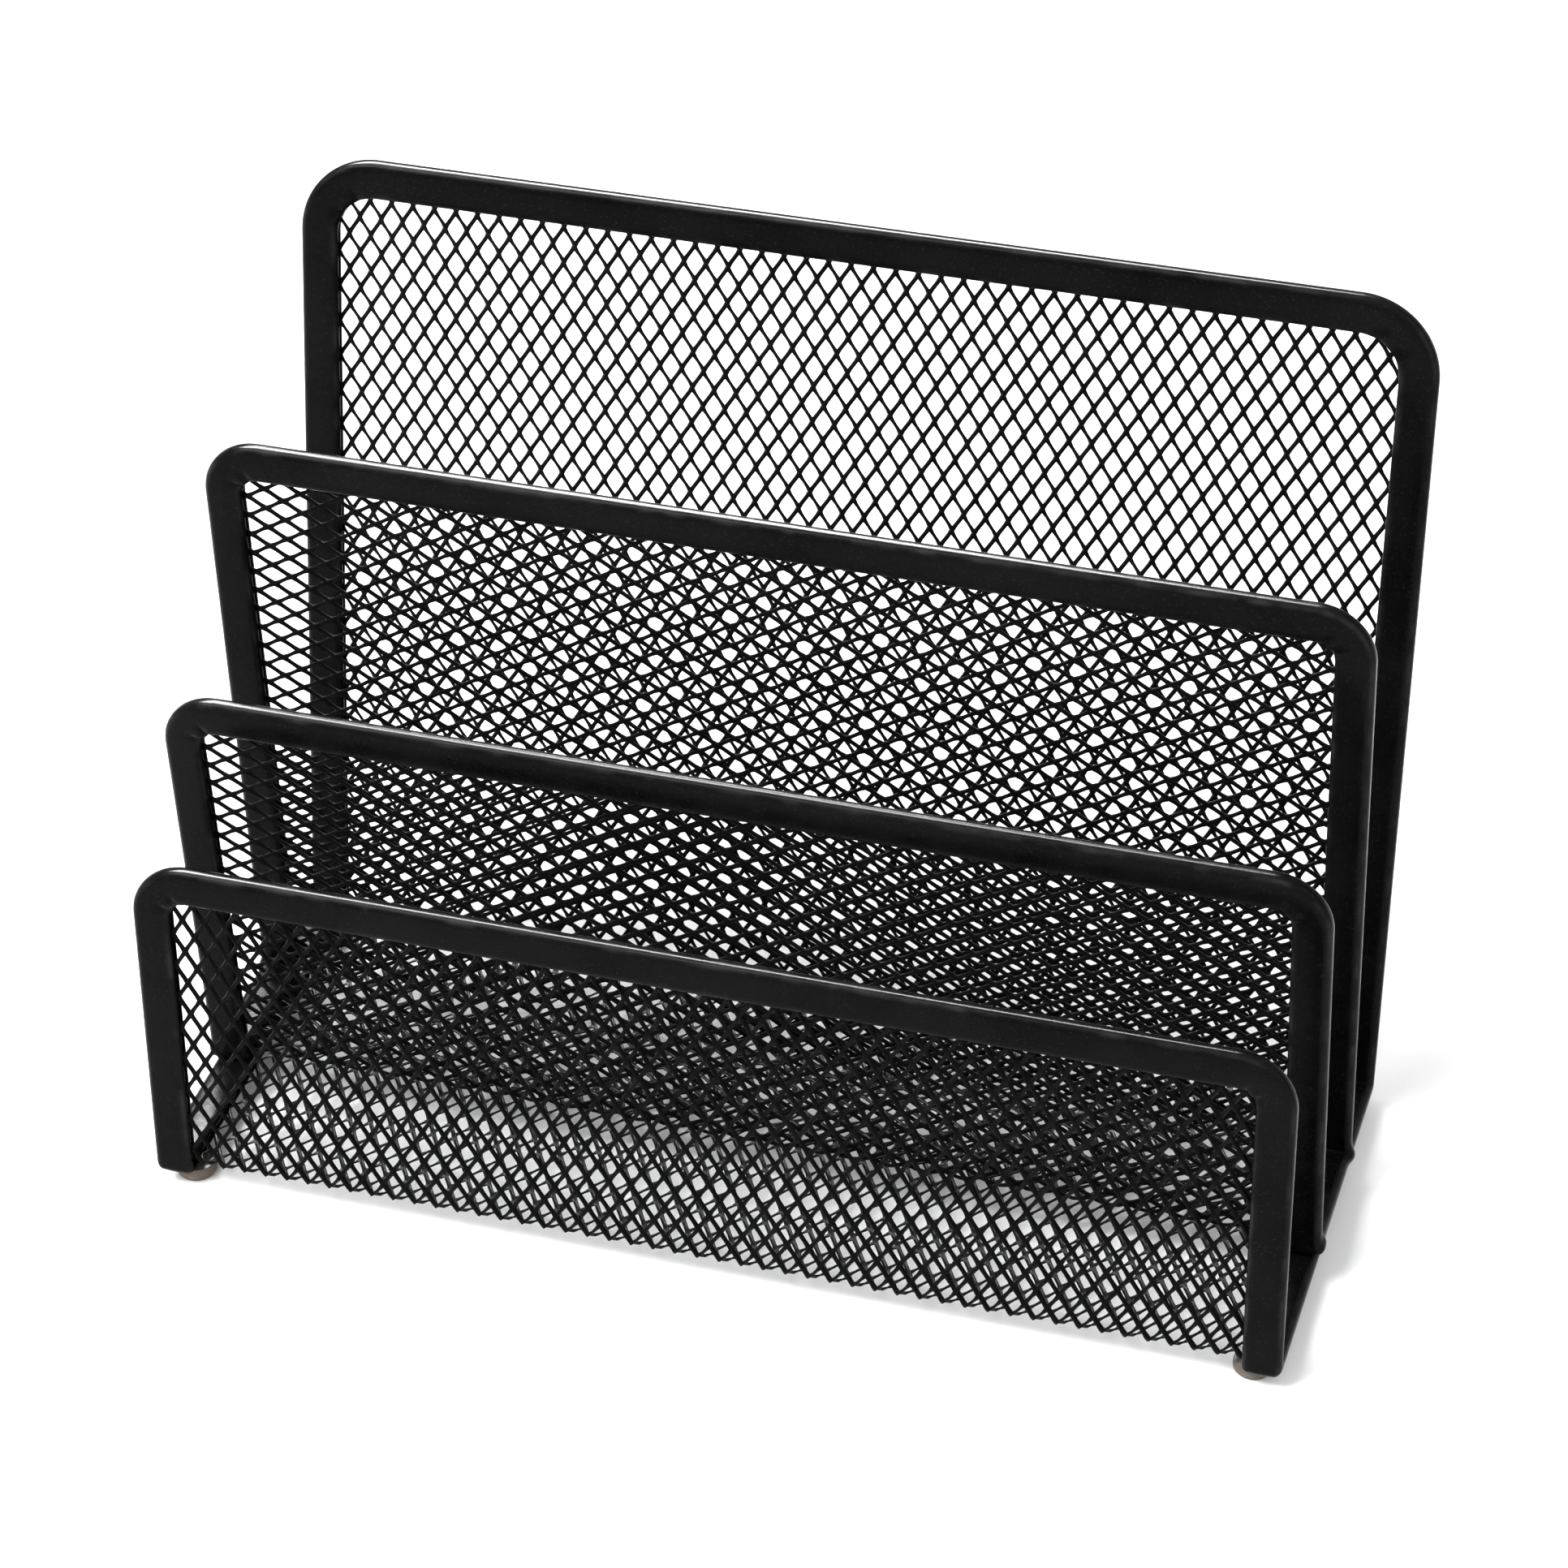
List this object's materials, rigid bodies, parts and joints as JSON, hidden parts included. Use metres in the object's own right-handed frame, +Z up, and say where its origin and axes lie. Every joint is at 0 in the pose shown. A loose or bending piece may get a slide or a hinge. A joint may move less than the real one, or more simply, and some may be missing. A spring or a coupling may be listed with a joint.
{
  "type": "mesh letter sorter",
  "caption": "Desk letter sorter of bent black steel mesh: stepped upright panels with channel rims, forming open slots, on rubber pads.",
  "frame": {"origin": "on the desk surface, under the middle of the whole sorter", "axes": "+X to the right along the panels, +Y from the lowest panel at the front to the tallest at the back, +Z up"},
  "size_m": [0.179, 0.0916, 0.1337],
  "materials": {
    "powder_coated_rim": "satin black powder coat",
    "powder_coated_mesh": "satin black powder coat",
    "rubber_pad": "matt brown-black rubber"
  },
  "bodies": {
    "root": {"outer_rim": "powder_coated_rim", "inner_rim": "powder_coated_rim", "outer_mesh_sheet": "powder_coated_mesh", "inner_mesh_sheet": "powder_coated_mesh", "foot_pad_front_left": "rubber_pad", "foot_pad_front_right": "rubber_pad", "foot_pad_rear_left": "rubber_pad", "foot_pad_rear_right": "rubber_pad"}
  },
  "joints": []
}
